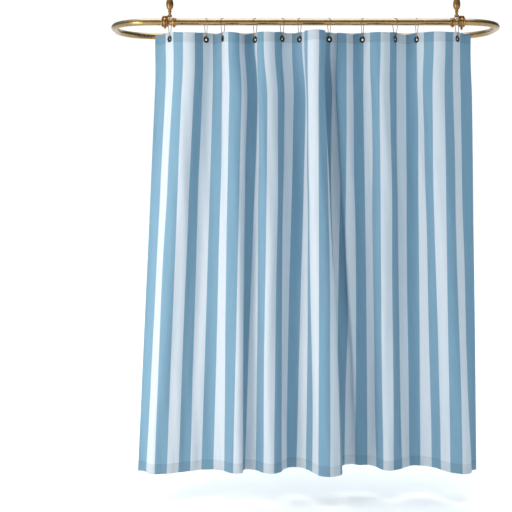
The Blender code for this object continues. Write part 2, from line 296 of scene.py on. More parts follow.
def ramp(node: bpy.types.Node, stops: list[tuple[float, str]]) -> None:
    """Set a colour ramp's stops.

    Args:
        node: The ramp.
        stops: Position and sRGB hex value of each stop.
    """
    band = node.color_ramp
    while len(band.elements) > 1:
        band.elements.remove(band.elements[-1])
    for n, (position, code) in enumerate(stops):
        element = band.elements[0] if n == 0 else band.elements.new(position)
        element.position = position
        element.color = linear(code)


@dataclass(frozen=True)
class TurnedBrass(Finish):
    """Lacquered brass with a satin polish: warm, softly mirrored, a little uneven."""

    light: str = "A48860"
    dark: str = "967A54"
    rough: float = 0.22
    rough_span: float = 0.08
    grain_mm: float = 3.0

    def make(self) -> bpy.types.Material:
        """Build the material."""
        made, tree, shader = self.start()
        where = add(tree, "ShaderNodeTexCoord")
        # Handling leaves the lacquer cloudy in patches about 30 mm across.
        cloud = add(tree, "ShaderNodeTexNoise",
                    {"Vector": where.outputs["Object"], "Scale": 34.0, "Detail": 4.0})
        tone = add(tree, "ShaderNodeValToRGB", {"Fac": cloud.outputs["Fac"]})
        ramp(tone, [(0.32, self.dark), (0.68, self.light)])
        gloss = add(tree, "ShaderNodeMapRange",
                    {"Value": cloud.outputs["Fac"], "From Min": 0.3, "From Max": 0.7,
                     "To Min": self.rough, "To Max": self.rough + self.rough_span})
        # The polish is slightly uneven, in dips a few millimetres across.
        grain = add(tree, "ShaderNodeTexNoise",
                    {"Vector": where.outputs["Object"], "Scale": 1000.0 / self.grain_mm,
                     "Detail": 2.0})
        relief = add(tree, "ShaderNodeBump",
                     {"Height": grain.outputs["Fac"], "Strength": 0.03, "Distance": 0.0003})
        tree.links.new(tone.outputs["Color"], shader.inputs["Base Color"])
        tree.links.new(gloss.outputs["Result"], shader.inputs["Roughness"])
        tree.links.new(relief.outputs["Normal"], shader.inputs["Normal"])
        shader.inputs["Metallic"].default_value = 1.0
        return made


@dataclass(frozen=True)
class BlackedMetal(Finish):
    """Black enamelled eyelet metal: dark, with a soft sheen and faint speckle."""

    dark: str = "0B0E12"
    light: str = "20262C"

    def make(self) -> bpy.types.Material:
        """Build the material."""
        made, tree, shader = self.start()
        where = add(tree, "ShaderNodeTexCoord")
        # Enamel speckle about a millimetre across.
        speck = add(tree, "ShaderNodeTexNoise",
                    {"Vector": where.outputs["Object"], "Scale": 700.0, "Detail": 3.0})
        tone = add(tree, "ShaderNodeValToRGB", {"Fac": speck.outputs["Fac"]})
        ramp(tone, [(0.35, self.dark), (0.75, self.light)])
        relief = add(tree, "ShaderNodeBump",
                     {"Height": speck.outputs["Fac"], "Strength": 0.15, "Distance": 0.0002})
        tree.links.new(tone.outputs["Color"], shader.inputs["Base Color"])
        tree.links.new(relief.outputs["Normal"], shader.inputs["Normal"])
        shader.inputs["Roughness"].default_value = 0.38
        shader.inputs["IOR"].default_value = 1.5
        return made


@dataclass(frozen=True)
class WovenStripe(Finish):
    """Plain-weave cotton in broad blue and white stripes, a little sheen on its folds."""

    stripe: float = 0.0508
    drop: float = 1.8288
    header: float = 0.041
    hem: float = 0.042
    blue: str = "7FA3B8"
    blue_deep: str = "7398AE"
    white: str = "D3DBE2"
    white_deep: str = "C7D0D8"
    # Painted shade: colour factors for the doubled header and hem bands, and for the rest of the
    # piece.
    doubled_band_painted_shade: float = 0.86
    rest_painted_shade: float = 1.0
    thread: float = 0.0012

    def make(self) -> bpy.types.Material:
        """Build the material."""
        made, tree, shader = self.start()
        flat = add(tree, "ShaderNodeUVMap", uv_map="flat")
        split = add(tree, "ShaderNodeSeparateXYZ", {"Vector": flat.outputs["UV"]})
        across, down = split.outputs["X"], split.outputs["Y"]
        # Stripe edges wander by a thread or two.
        wander = add(tree, "ShaderNodeTexNoise",
                     {"Vector": flat.outputs["UV"], "Scale": 260.0, "Detail": 1.0})
        shift = add(tree, "ShaderNodeMath",
                    {0: wander.outputs["Fac"], 1: 0.0010, 2: across}, operation="MULTIPLY_ADD")
        turns = add(tree, "ShaderNodeMath",
                    {0: shift.outputs[0], 1: 1.0 / (2 * self.stripe)}, operation="MULTIPLY")
        phase = add(tree, "ShaderNodeMath", {0: turns.outputs[0]}, operation="FRACT")
        # Dye lots differ slightly along the yarn.
        yarn = add(tree, "ShaderNodeMapping",
                   {"Vector": flat.outputs["UV"], "Scale": (900.0, 6.0, 1.0)})
        slub = add(tree, "ShaderNodeTexNoise",
                   {"Vector": yarn.outputs["Vector"], "Scale": 1.0, "Detail": 3.0})
        blues = add(tree, "ShaderNodeValToRGB", {"Fac": slub.outputs["Fac"]})
        ramp(blues, [(0.3, self.blue_deep), (0.7, self.blue)])
        whites = add(tree, "ShaderNodeValToRGB", {"Fac": slub.outputs["Fac"]})
        ramp(whites, [(0.3, self.white_deep), (0.7, self.white)])
        pick = add(tree, "ShaderNodeValToRGB", {"Fac": phase.outputs[0]})
        ramp(pick, [(0.0, "000000"), (0.492, "000000"), (0.508, "FFFFFF"), (0.992, "FFFFFF"),
                    (1.0, "000000")])
        stripes = add(tree, "ShaderNodeMix", data_type="RGBA")
        tree.links.new(pick.outputs["Color"], stripes.inputs[0])
        tree.links.new(blues.outputs["Color"], stripes.inputs[6])
        tree.links.new(whites.outputs["Color"], stripes.inputs[7])
        # Painted shade: two layers at the header and the hems let less light through, so their
        # colour is darkened there.
        top = add(tree, "ShaderNodeMath", {0: down, 1: self.header}, operation="LESS_THAN")
        low = add(tree, "ShaderNodeMath", {0: down, 1: self.drop - self.hem},
                  operation="GREATER_THAN")
        either = add(tree, "ShaderNodeMath", {0: top.outputs[0], 1: low.outputs[0]},
                     operation="MAXIMUM")
        shade = add(tree, "ShaderNodeMapRange",
                    {"Value": either.outputs[0], "To Min": self.rest_painted_shade, "To Max": self.doubled_band_painted_shade})
        toned = add(tree, "ShaderNodeVectorMath",
                    {0: stripes.outputs[2], 1: shade.outputs["Result"]}, operation="MULTIPLY")
        tree.links.new(toned.outputs[0], shader.inputs["Base Color"])
        tree.links.new(self.relief(tree, flat, down), shader.inputs["Normal"])
        shader.inputs["Roughness"].default_value = 0.82
        shader.inputs["IOR"].default_value = 1.5
        shader.inputs["Specular IOR Level"].default_value = 0.25
        shader.inputs["Sheen Weight"].default_value = 0.18
        shader.inputs["Sheen Roughness"].default_value = 0.45
        return made

    def relief(
        self, tree: bpy.types.NodeTree, flat: bpy.types.Node, down: bpy.types.NodeSocket
    ) -> bpy.types.NodeSocket:
        """Add the weave, the seam lines and the fine creases.

        Args:
            tree: The tree to add to.
            flat: The node that gives the place on the flat cloth.
            down: The distance below the top edge.

        Returns:
            The bent normal.
        """
        # Threads drawn about 2.4 mm apart, coarser than real ones, so that they show.
        scale = 1 / self.thread / 6.283
        warp = add(tree, "ShaderNodeTexWave",
                   {"Vector": flat.outputs["UV"], "Scale": scale, "Distortion": 0.4},
                   wave_type="BANDS", bands_direction="X")
        weft = add(tree, "ShaderNodeTexWave",
                   {"Vector": flat.outputs["UV"], "Scale": scale, "Distortion": 0.4},
                   wave_type="BANDS", bands_direction="Y")
        weave = add(tree, "ShaderNodeMath",
                    {0: warp.outputs["Fac"], 1: weft.outputs["Fac"]}, operation="MULTIPLY")
        first = add(tree, "ShaderNodeBump",
                    {"Height": weave.outputs[0], "Strength": 0.25, "Distance": 0.0002})
        # Soft creases left from folding, about 33 mm wide and 110 mm long.
        crease = add(tree, "ShaderNodeMapping",
                     {"Vector": flat.outputs["UV"], "Scale": (30.0, 9.0, 1.0)})
        crumple = add(tree, "ShaderNodeTexNoise",
                      {"Vector": crease.outputs["Vector"], "Scale": 1.0, "Detail": 4.0,
                       "Roughness": 0.6})
        second = add(tree, "ShaderNodeBump",
                     {"Height": crumple.outputs["Fac"], "Strength": 0.35, "Distance": 0.004,
                      "Normal": first.outputs["Normal"]})
        # The stitched seam of the header and of the hem pulls the cloth in along a line.
        seams = None
        for line in (self.header, self.drop - self.hem):
            off = add(tree, "ShaderNodeMath", {0: down, 1: line}, operation="SUBTRACT")
            near = add(tree, "ShaderNodeMath", {0: off.outputs[0]}, operation="ABSOLUTE")
            dip = add(tree, "ShaderNodeMapRange",
                      {"Value": near.outputs[0], "From Min": 0.0, "From Max": 0.0022,
                       "To Min": 0.0, "To Max": 1.0})
            seams = dip.outputs["Result"] if seams is None else add(
                tree, "ShaderNodeMath", {0: seams, 1: dip.outputs["Result"]},
                operation="MULTIPLY").outputs[0]
        third = add(tree, "ShaderNodeBump",
                    {"Height": seams, "Strength": 0.6, "Distance": 0.0012,
                     "Normal": second.outputs["Normal"]})
        return third.outputs["Normal"]


@dataclass(frozen=True)
class PlainStage(Finish):
    """Matt studio paper."""

    colour: str = "FAF8F5"

    def make(self) -> bpy.types.Material:
        """Build the material."""
        made, tree, shader = self.start()
        where = add(tree, "ShaderNodeTexCoord")
        grain = add(tree, "ShaderNodeTexNoise",
                    {"Vector": where.outputs["Object"], "Scale": 2.0, "Detail": 2.0})
        tone = add(tree, "ShaderNodeValToRGB", {"Fac": grain.outputs["Fac"]})
        ramp(tone, [(0.0, self.colour), (1.0, "FDFBF9")])
        tree.links.new(tone.outputs["Color"], shader.inputs["Base Color"])
        shader.inputs["Roughness"].default_value = 0.9
        return made


@dataclass
class Finishes:
    """Every finish on the object, made once."""

    rail_brass: bpy.types.Material = field(
        default_factory=lambda: TurnedBrass("satin_lacquered_brass").make())
    cast_brass: bpy.types.Material = field(
        default_factory=lambda: TurnedBrass("turned_brass_fitting", light="B58A55",
                                            dark="83592F", rough=0.30,
                                            rough_span=0.14).make())
    wire_brass: bpy.types.Material = field(
        default_factory=lambda: TurnedBrass("brass_plated_wire", light="B99A62",
                                            dark="75593A", rough=0.26).make())
    screw_brass: bpy.types.Material = field(
        default_factory=lambda: TurnedBrass("brass_screw", light="B98D4B", dark="7E5A2A",
                                            rough=0.34).make())
    sleeve_steel: bpy.types.Material = field(
        default_factory=lambda: TurnedBrass("zinc_plated_steel", light="B9BBBC",
                                            dark="8C8E90", rough=0.34).make())
    eyelet_black: bpy.types.Material = field(
        default_factory=lambda: BlackedMetal("black_enamelled_metal").make())
    cloth: bpy.types.Material = field(
        default_factory=lambda: WovenStripe("woven_striped_cotton").make())
    # The turned hems carry painted shade all over, standing in for the light that their two
    # layers hold back.
    hem_cloth: bpy.types.Material = field(
        default_factory=lambda: WovenStripe("turned_hem_cotton", rest_painted_shade=0.86).make())


def dress(piece: bpy.types.Object, finish: bpy.types.Material) -> None:
    """Give a piece one material."""
    piece.data.materials.clear()
    piece.data.materials.append(finish)


# ---------------------------------------------------------------------------------------
# Camera, stage and lights
# ---------------------------------------------------------------------------------------


@dataclass
class Studio:
    """Plain pale studio round the hanging curtain."""

    eye: tuple[float, float, float] = (-0.2125, -4.3244, -0.9656)
    pitch_deg: float = 1.32
    lens_mm: float = 69.4
    shift_y: float = -0.10
    floor_z: float = -2.30

    def build(self) -> None:
        """Set up the camera, the paper and the lights."""
        self.camera()
        self.paper()
        self.lights()

    def camera(self) -> None:
        """Place the camera left of the curtain's middle, looking slightly down."""
        data = bpy.data.cameras.new("camera")
        data.lens = self.lens_mm
        data.sensor_width = 36.0
        data.shift_y = self.shift_y
        camera = bpy.data.objects.new("camera", data)
        camera.location = self.eye
        camera.rotation_euler = (math.radians(90.0 - self.pitch_deg), 0.0, 0.0)
        bpy.context.scene.collection.objects.link(camera)
        bpy.context.scene.camera = camera

    def paper(self) -> None:
        """Lay the floor."""
        free_hands()
        bpy.ops.mesh.primitive_plane_add(size=60.0, location=(0, 0, self.floor_z))
        floor = bpy.context.object
        floor.name = "studio_floor"
        settle(floor)
        dress(floor, PlainStage("matt_studio_paper").make())

    def lights(self) -> None:
        """Soft key from the left, and the room's own light."""
        scene = bpy.context.scene
        scene.view_settings.view_transform = "Standard"
        scene.world = self.surround()
        self.area("key_left", (-1.9, -1.6, -1.1), (-0.5, -0.2, -1.2), 0.7, 2.2, 28.0, "FFF1E4")

    def surround(self) -> bpy.types.World:
        """Room round the object: white behind it and overhead, with dim bluish walls.

        Returns:
            The world.
        """
        world = bpy.data.worlds.new("studio_surround")
        world.use_nodes = True
        tree = world.node_tree
        where = add(tree, "ShaderNodeTexCoord")
        split = add(tree, "ShaderNodeSeparateXYZ", {"Vector": where.outputs["Generated"]})
        height = add(tree, "ShaderNodeMapRange",
                     {"Value": split.outputs["Z"], "From Min": -1.0, "From Max": 1.0})
        wall = add(tree, "ShaderNodeValToRGB", {"Fac": height.outputs["Result"]})
        ramp(wall, [(0.0, "343D44"), (0.20, "42535F"), (0.44, "647C8D"), (0.64, "738C9D"),
                    (0.80, "8FA7B7"), (0.92, "EAF0F4")])
        behind = add(tree, "ShaderNodeMapRange",
                     {"Value": split.outputs["Y"], "From Min": 0.72, "From Max": 0.90})
        # A window on the left makes that side of the room brighter than the right.
        side = add(tree, "ShaderNodeMapRange",
                   {"Value": split.outputs["X"], "From Min": -1.0, "From Max": 1.0,
                    "To Min": 1.55, "To Max": 0.45})
        lit = add(tree, "ShaderNodeVectorMath",
                  {0: wall.outputs["Color"], "Scale": side.outputs["Result"]},
                  operation="SCALE")
        tone = add(tree, "ShaderNodeMix", {7: linear("FFFFFF")}, data_type="RGBA")
        tree.links.new(behind.outputs["Result"], tone.inputs[0])
        tree.links.new(lit.outputs["Vector"], tone.inputs[6])
        tree.links.new(tone.outputs[2], tree.nodes["Background"].inputs["Color"])
        # The ceiling is the brightest part, so that the pale floor stays pale.
        power = add(tree, "ShaderNodeMapRange",
                    {"Value": split.outputs["Z"], "From Min": 0.88, "From Max": 0.94,
                     "To Min": 1.05, "To Max": 5.4})
        tree.links.new(power.outputs["Result"], tree.nodes["Background"].inputs["Strength"])
        return world

    def area(
        self, name: str, place: tuple[float, float, float],
        aim: tuple[float, float, float], wide: float, high: float, watts: float, code: str,
    ) -> None:
        """Add one soft light.

        Args:
            name: The light's name.
            place: Where it stands.
            aim: What it points at.
            wide: Its width.
            high: Its height.
            watts: Its power.
            code: Its sRGB hex colour.
        """
        data = bpy.data.lights.new(name, "AREA")
        data.shape = "RECTANGLE"
        data.size = wide
        data.size_y = high
        data.energy = watts
        data.color = linear(code)[:3]
        light = bpy.data.objects.new(name, data)
        light.location = place
        toward = Vector(aim) - Vector(place)
        light.rotation_euler = toward.to_track_quat("-Z", "Y").to_euler()
        bpy.context.scene.collection.objects.link(light)


# ---------------------------------------------------------------------------------------
# Rail
# ---------------------------------------------------------------------------------------


@dataclass
class Rail:
    """Oval tube rail: a straight front tube and two bent ends."""

    finishes: Finishes
    tube_r: float = 0.014
    wall: float = 0.0015
    bend_r: float = 0.165
    half_depth: float = 0.200
    half_length: float = 0.8235
    sides: int = 40
    bend_steps: int = 28
    joint_gap: float = 0.0003
    back_gap: float = 0.0002

    @property
    def height(self) -> float:
        """Height of the tube's axis."""
        return middle_of("rail_front_tube").z

    def build(self) -> None:
        """Model the three tubes."""
        low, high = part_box("rail_front_tube")
        self.straight("rail_tube_front", low[0], high[0])
        self.bent(Hand.LEFT, low[0] - self.joint_gap)
        self.bent(Hand.RIGHT, high[0] + self.joint_gap)

    def ring(self, name: str, place: tuple[float, float, float]) -> bpy.types.Object:
        """Start a tube with a ring across the rail's length.

        Args:
            name: The piece's name.
            place: The ring's middle.

        Returns:
            The ring, in edit mode and all selected.
        """
        free_hands()
        bpy.ops.mesh.primitive_circle_add(
            vertices=self.sides, radius=self.tube_r, location=place,
            rotation=(0, math.pi / 2, 0),
        )
        piece = bpy.context.object
        piece.name = name
        bpy.ops.object.transform_apply(location=True, rotation=True, scale=True)
        bpy.ops.object.mode_set(mode="EDIT")
        bpy.ops.mesh.select_all(action="SELECT")
        return piece

    def run(self, distance: tuple[float, float, float]) -> None:
        """Extrude the selected ring straight on."""
        bpy.ops.mesh.extrude_edges_move(TRANSFORM_OT_translate={"value": distance})

    def finish_tube(self, piece: bpy.types.Object, node: str) -> None:
        """Give a tube its wall, its finish and its body.

        Args:
            piece: The open shell.
            node: The CAD node that it stands for.
        """
        settle(piece)
        wall = piece.modifiers.new("wall", "SOLIDIFY")
        wall.thickness = self.wall
        wall.offset = -1.0
        take_up(piece)
        bpy.ops.object.modifier_apply(modifier=wall.name)
        settle(piece)
        soften(piece)
        dress(piece, self.finishes.rail_brass)
        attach(piece, "rail")
        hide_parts(node)
        LOG.info("made %s", piece.name)

    def straight(self, name: str, start: float, end: float) -> None:
        """Model the front tube.

        Args:
            name: The piece's name.
            start: X of its left end.
            end: X of its right end.
        """
        piece = self.ring(name, (start, -self.half_depth, self.height))
        for _ in range(6):
            self.run(((end - start) / 6, 0, 0))
        self.finish_tube(piece, "rail_front_tube")

    def bent(self, hand: Hand, start: float) -> None:
        """Model one bent end, from the front joint round to the middle of the back run.

        Args:
            hand: Which end.
            start: X of its front end.
        """
        out = hand.outward
        name = "rail_tube_" + hand.value
        piece = self.ring(name, (start, -self.half_depth, self.height))
        bend_x = out * (self.half_length - self.bend_r)
        self.run((bend_x - start, 0, 0))
        centre = (bend_x, -self.half_depth + self.bend_r, self.height)
        bpy.ops.mesh.spin(steps=self.bend_steps, angle=-out * math.pi / 2, center=centre,
                          axis=(0, 0, 1))
        self.run((0, 2 * (self.half_depth - self.bend_r), 0))
        centre = (bend_x, self.half_depth - self.bend_r, self.height)
        bpy.ops.mesh.spin(steps=self.bend_steps, angle=-out * math.pi / 2, center=centre,
                          axis=(0, 0, 1))
        self.run((-bend_x + out * self.back_gap, 0, 0))
        self.finish_tube(piece, f"rail_{hand.value}_end")


# ---------------------------------------------------------------------------------------
# Ceiling supports
# ---------------------------------------------------------------------------------------


@dataclass
class Support:
    """One turned ceiling support with its tee barrel, set screw and stop collar."""

    hand: Hand
    finishes: Finishes
    rail_z: float
    rail_y: float = -0.200
    sides: int = 40
    tube_r: float = 0.014
    barrel_r: float = 0.0215
    collar_r: float = 0.0180
    fit: float = 0.0002
    screw_tip: float = 0.0146

    def node(self, kind: str) -> str:
        """Name of this support's CAD node of a kind."""
        return f"{kind}_{self.hand.value}"

    def keep(
        self, piece: bpy.types.Object, nodes: list[str], body: str,
        finish: bpy.types.Material, slot: str = "brass", degrees: float = 40.0,
    ) -> None:
        """Shade, dress and mount a finished piece.

        Args:
            piece: The piece.
            nodes: The CAD nodes it stands for.
            body: The body it rides on.
            finish: Its material.
            slot: The record's material slot; not used.
            degrees: The sharpest angle that is smoothed.
        """
        soften(piece, degrees)
        dress(piece, finish)
        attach(piece, body)
        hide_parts(*nodes)
        LOG.info("made %s", piece.name)

    def build(self) -> None:
        """Model every piece of the support."""
        self.flange()
        self.rod()
        self.barrel()
        self.finial()
        self.collar()

    def rod_x(self) -> float:
        """X of the rod's axis."""
        return middle_of(self.node("drop_rod")).x

    def flange(self) -> None:
        """Turned ceiling rose with three screws."""
        outline = [
            (0.0380, 0.0), (0.0380, -0.0024), (0.0374, -0.0032), (0.0355, -0.0038),
            (0.0338, -0.0044), (0.0330, -0.0052), (0.0316, -0.0058), (0.0250, -0.0068),
            (0.0190, -0.0078), (0.0160, -0.0090), (0.0145, -0.0106), (0.0136, -0.0118),
            (0.0120, -0.0120), (0.0073, -0.0120),
        ]
        piece = lathe("ceiling_rose_" + self.hand.value, outline, 48)
        piece = settle(piece, Matrix.Translation((self.rod_x(), self.rail_y, 0.0)))
        self.keep(piece, [self.node("ceiling_flange")], "rail", self.finishes.cast_brass)
        for k in range(3):
            self.flange_screw(k)

    def flange_screw(self, k: int) -> None:
        """Model one countersunk screw with a slotted head.

        Args:
            k: Its number round the flange, from 0.
        """
        name = f"flange_screw_{self.hand.value}_{k + 1}"
        spot = middle_of(name)
        outline = [
            (0.0022, -0.0010), (0.0022, -0.0040), (0.0046, -0.0066), (0.0046, -0.0074),
            (0.0038, -0.0084), (0.0022, -0.0089), (0.0004, -0.0090),
        ]
        piece = lathe("rose_" + name, outline, 24)
        free_hands()
        bpy.ops.mesh.primitive_cube_add(size=1.0, location=(0, 0, -0.0090))
        slot = bpy.context.object
        slot.scale = (0.012, 0.0011, 0.0022)
        settle(slot, Matrix.Rotation(0.6 + 1.1 * k, 4, "Z"))
        trim = piece.modifiers.new("slot", "BOOLEAN")
        trim.operation = "DIFFERENCE"
        trim.solver = "EXACT"
        trim.object = slot
        take_up(piece)
        bpy.ops.object.modifier_apply(modifier=trim.name)
        discard(slot)
        settle(piece, Matrix.Translation((spot.x, spot.y, 0.0)))
        self.keep(piece, [name], "rail", self.finishes.screw_brass, "dark_brass")

    def rod(self) -> None:
        """Turned baluster rod from the lug up to the rose."""
        foot = 0.0255
        outline = [
            (0.0084, foot), (0.0092, foot + 0.0012), (0.0092, foot + 0.0030),
            (0.0080, foot + 0.0042), (0.0060, foot + 0.0056), (0.0055, foot + 0.0080),
            (0.0052, foot + 0.0130), (0.0062, foot + 0.0152), (0.0078, foot + 0.0168),
            (0.0080, foot + 0.0180), (0.0077, foot + 0.0192), (0.0060, foot + 0.0208),
            (0.0055, foot + 0.0222), (0.0066, foot + 0.0242), (0.0098, foot + 0.0280),
            (0.0126, foot + 0.0330), (0.0143, foot + 0.0385), (0.0151, foot + 0.0445),
            (0.0151, foot + 0.0500), (0.0142, foot + 0.0580), (0.0124, foot + 0.0660),
            (0.0100, foot + 0.0750), (0.0078, foot + 0.0820), (0.0070, foot + 0.0850),
            (0.0086, foot + 0.0866), (0.0104, foot + 0.0882), (0.0108, foot + 0.0905),
            (0.0104, foot + 0.0932), (0.0086, foot + 0.0960), (0.0070, foot + 0.0990),
            (0.0068, foot + 0.1030), (0.0068, 0.2715), (0.0092, 0.2740), (0.0109, 0.2765),
            (0.0112, 0.2790), (0.0108, 0.2812), (0.0086, 0.2832), (0.0068, 0.2848),
            (0.0068, 0.2950),
        ]
        piece = lathe("baluster_rod_" + self.hand.value, outline, self.sides)
        settle(piece, Matrix.Translation((self.rod_x(), self.rail_y, self.rail_z)))
        self.keep(piece, [self.node("drop_rod")], "rail", self.finishes.cast_brass,
                  degrees=50.0)

    def along_rail(self, x: float) -> Matrix:
        """Place that lays a piece's own Z along the rail."""
        turn = Matrix.Rotation(math.pi / 2, 4, "Y")
        return Matrix.Translation((x, self.rail_y, self.rail_z)) @ turn

    def barrel(self) -> None:
        """Beaded barrel round the tube's joint, with the lug that carries the rod."""
        x = middle_of(self.node("finial")).x
        half = 0.0130
        bore = self.tube_r + self.fit
        r = self.barrel_r
        outline = [
            (bore, -half), (r - 0.0036, -half), (r - 0.0022, -half + 0.0005),
            (r - 0.0006, -half + 0.0016), (r, -half + 0.0032), (r - 0.0006, -half + 0.0048),
            (r - 0.0022, -half + 0.0060), (r - 0.0030, -half + 0.0070),
            (r - 0.0018, -half + 0.0084), (r - 0.0012, -half + 0.0108), (r - 0.0010, 0.0),
            (r - 0.0012, half - 0.0108), (r - 0.0018, half - 0.0084),
            (r - 0.0030, half - 0.0070), (r - 0.0022, half - 0.0060),
            (r - 0.0006, half - 0.0048), (r, half - 0.0032), (r - 0.0006, half - 0.0016),
            (r - 0.0022, half - 0.0005), (r - 0.0036, half), (bore, half),
        ]
        piece = lathe("tee_barrel_body_" + self.hand.value, outline, 48, closed=True)
        settle(piece, self.along_rail(x))
        rod = self.rod_x()
        reach = rod - self.hand.outward * 0.0088
        end = x + self.hand.outward * 0.0095
        free_hands()
        bpy.ops.mesh.primitive_cube_add(
            size=1.0, location=((reach + end) / 2, self.rail_y, self.rail_z + 0.02235))
        lug = bpy.context.object
        lug.name = "tee_lug_" + self.hand.value
        lug.scale = (abs(end - reach), 0.0190, 0.0057)
        bpy.ops.object.transform_apply(location=True, rotation=False, scale=True)
        bpy.ops.object.mode_set(mode="EDIT")
        bpy.ops.mesh.select_all(action="SELECT")
        bpy.ops.mesh.bevel(offset=0.0016, segments=3, affect="EDGES")
        bpy.ops.object.mode_set(mode="OBJECT")
        weld = piece.modifiers.new("lug", "BOOLEAN")
        weld.operation = "UNION"
        weld.solver = "EXACT"
        weld.object = lug
        take_up(piece)
        bpy.ops.object.modifier_apply(modifier=weld.name)
        discard(lug)
        settle(piece)
        self.keep(piece, [self.node("tee_barrel")], "rail", self.finishes.cast_brass)

    def finial(self) -> None:
        """Acorn-pointed set screw under the barrel."""
        low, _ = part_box(self.node("finial"))
        out = self.rail_z - low[2]
        start = self.barrel_r + self.fit
        span = out - start
        outline = [
            (0.0029, self.screw_tip), (0.0029, start), (0.0058, start),
            (0.0065, start + 0.10 * span), (0.0062, start + 0.18 * span),
            (0.0048, start + 0.26 * span),
            (0.0052, start + 0.36 * span), (0.0050, start + 0.50 * span),
            (0.0040, start + 0.66 * span), (0.0026, start + 0.80 * span),
            (0.0012, start + 0.93 * span), (0.0003, start + span),
        ]
        piece = lathe("acorn_screw_" + self.hand.value, outline, 28)
        x = middle_of(self.node("finial")).x
        settle(piece, Matrix.Translation((x, self.rail_y, self.rail_z))
               @ Matrix.Rotation(math.pi, 4, "X"))
        self.keep(piece, [self.node("finial")], "rail", self.finishes.cast_brass)

    def collar(self) -> None:
        """Rounded stop collar and its thumb screw."""
        body = "rail" if self.hand is Hand.LEFT else "collar"
        low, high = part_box(self.node("stop_collar"))
        x = (low[0] + high[0]) / 2
        half = (high[0] - low[0]) / 2
        bore = self.tube_r + self.fit
        r = self.collar_r
        outline = [
            (bore, -half), (r - 0.0026, -half), (r - 0.0012, -half + 0.0012),
            (r - 0.0002, -half + 0.0035), (r - 0.0002, -half + 0.0060),
            (r - 0.0014, -half + 0.0074), (r - 0.0002, -half + 0.0088),
            (r, 0.0), (r - 0.0002, half - 0.0088), (r - 0.0014, half - 0.0074),
            (r - 0.0002, half - 0.0060), (r - 0.0002, half - 0.0035),
            (r - 0.0012, half - 0.0012), (r - 0.0026, half), (bore, half),
        ]
        piece = lathe("stop_ring_" + self.hand.value, outline, 44, closed=True)
        settle(piece, self.along_rail(x))
        self.keep(piece, [self.node("stop_collar")], body, self.finishes.cast_brass)
        start = r + self.fit
        outline = [
            (0.0019, self.screw_tip), (0.0019, start), (0.0040, start), (0.0044, start + 0.0006),
            (0.0044, start + 0.0030), (0.0038, start + 0.0038), (0.0020, start + 0.0041),
            (0.0003, start + 0.0042),
        ]
        screw = lathe("thumb_screw_" + self.hand.value, outline, 20)
        settle(screw, Matrix.Translation((x, self.rail_y, self.rail_z))
               @ Matrix.Rotation(math.pi, 4, "X"))
        self.keep(screw, [self.node("collar_screw")], body, self.finishes.screw_brass,
                  "dark_brass")


# ---------------------------------------------------------------------------------------
# The cloth
# ---------------------------------------------------------------------------------------


@dataclass(frozen=True)
class Fold:
    """A crest or trough of the folded cloth, followed from the top edge to the hem.

    Depth is how far the cloth stands in front of (minus) or behind the rail. Each pair is
    given at the hooks, where the fold starts to hang free, and near the hem.
    """

    top_x: float
    top_depth: float
    upper_x: float
    upper_depth: float
    lower_x: float
    lower_depth: float


@dataclass(frozen=True)
class Drape:
    """How the folds run down the cloth, and the shape of half a fold.

    Half a fold, from crest to trough, is a curve whose direction swells and fades like half
    a sine. Its length is the cloth's, so nothing stretches.
    """

    folds: tuple[Fold, ...]
    width: float
    header: float = 0.060
    upper: float = 0.280
    lower: float = 1.705
    steepest: float = 2.25

    def table(self) -> tuple[np.ndarray, np.ndarray, np.ndarray]:
        """Return angles, with how far a unit half fold of each goes, and depth over width."""
        angles = np.linspace(0.0, self.steepest, 900)
        lean = angles[:, None] * np.sin(math.pi * (np.arange(40) + 0.5) / 40)
        across, back = np.cos(lean).mean(axis=1), np.sin(lean).mean(axis=1)
        return angles, across, back / across

    def places(self, down: float) -> tuple[np.ndarray, np.ndarray]:
        """Place every crest and trough at a height.

        The folds hang in straight lines. Near the top the hooks pull them aside.

        Args:
            down: Distance below the top edge.

        Returns:
            X and depth of each fold.
        """
        hang = (max(down, self.header) - self.upper) / (self.lower - self.upper)
        free = min(1.0, max(0.0, (down - self.header) / (self.upper - self.header)))
        free = free * free * (3.0 - 2.0 * free)
        xs, depths = [], []
        for f in self.folds:
            x = f.upper_x + (f.lower_x - f.upper_x) * hang
            depth = f.upper_depth + (f.lower_depth - f.upper_depth) * hang
            xs.append(f.top_x + (x - f.top_x) * free)
            depths.append(f.top_depth + (depth - f.top_depth) * free)
        return np.array(xs), np.array(depths)

    def plan(self, down: float) -> tuple[float, float, np.ndarray, np.ndarray]:
        """Scale the folds' depth at a height until they use the cloth's whole width.

        Args:
            down: Distance below the top edge.

        Returns:
            X and depth of the left edge, and each half fold's signed angle and length.
        """
        angles, across, ratio = self.table()
        xs, depths = self.places(down)
        reach, rise = np.diff(xs), np.diff(depths)
        low, high = 0.3, 3.0
        for _ in range(30):
            scale = (low + high) / 2
            used = reach / np.interp(np.abs(rise) * scale / reach, ratio, across)
            low, high = (scale, high) if used.sum() < self.width else (low, scale)
        steep = np.interp(np.abs(rise) * scale / reach, ratio, angles) * np.sign(rise)
        return float(xs[0]), float(depths[0] * scale), steep, used


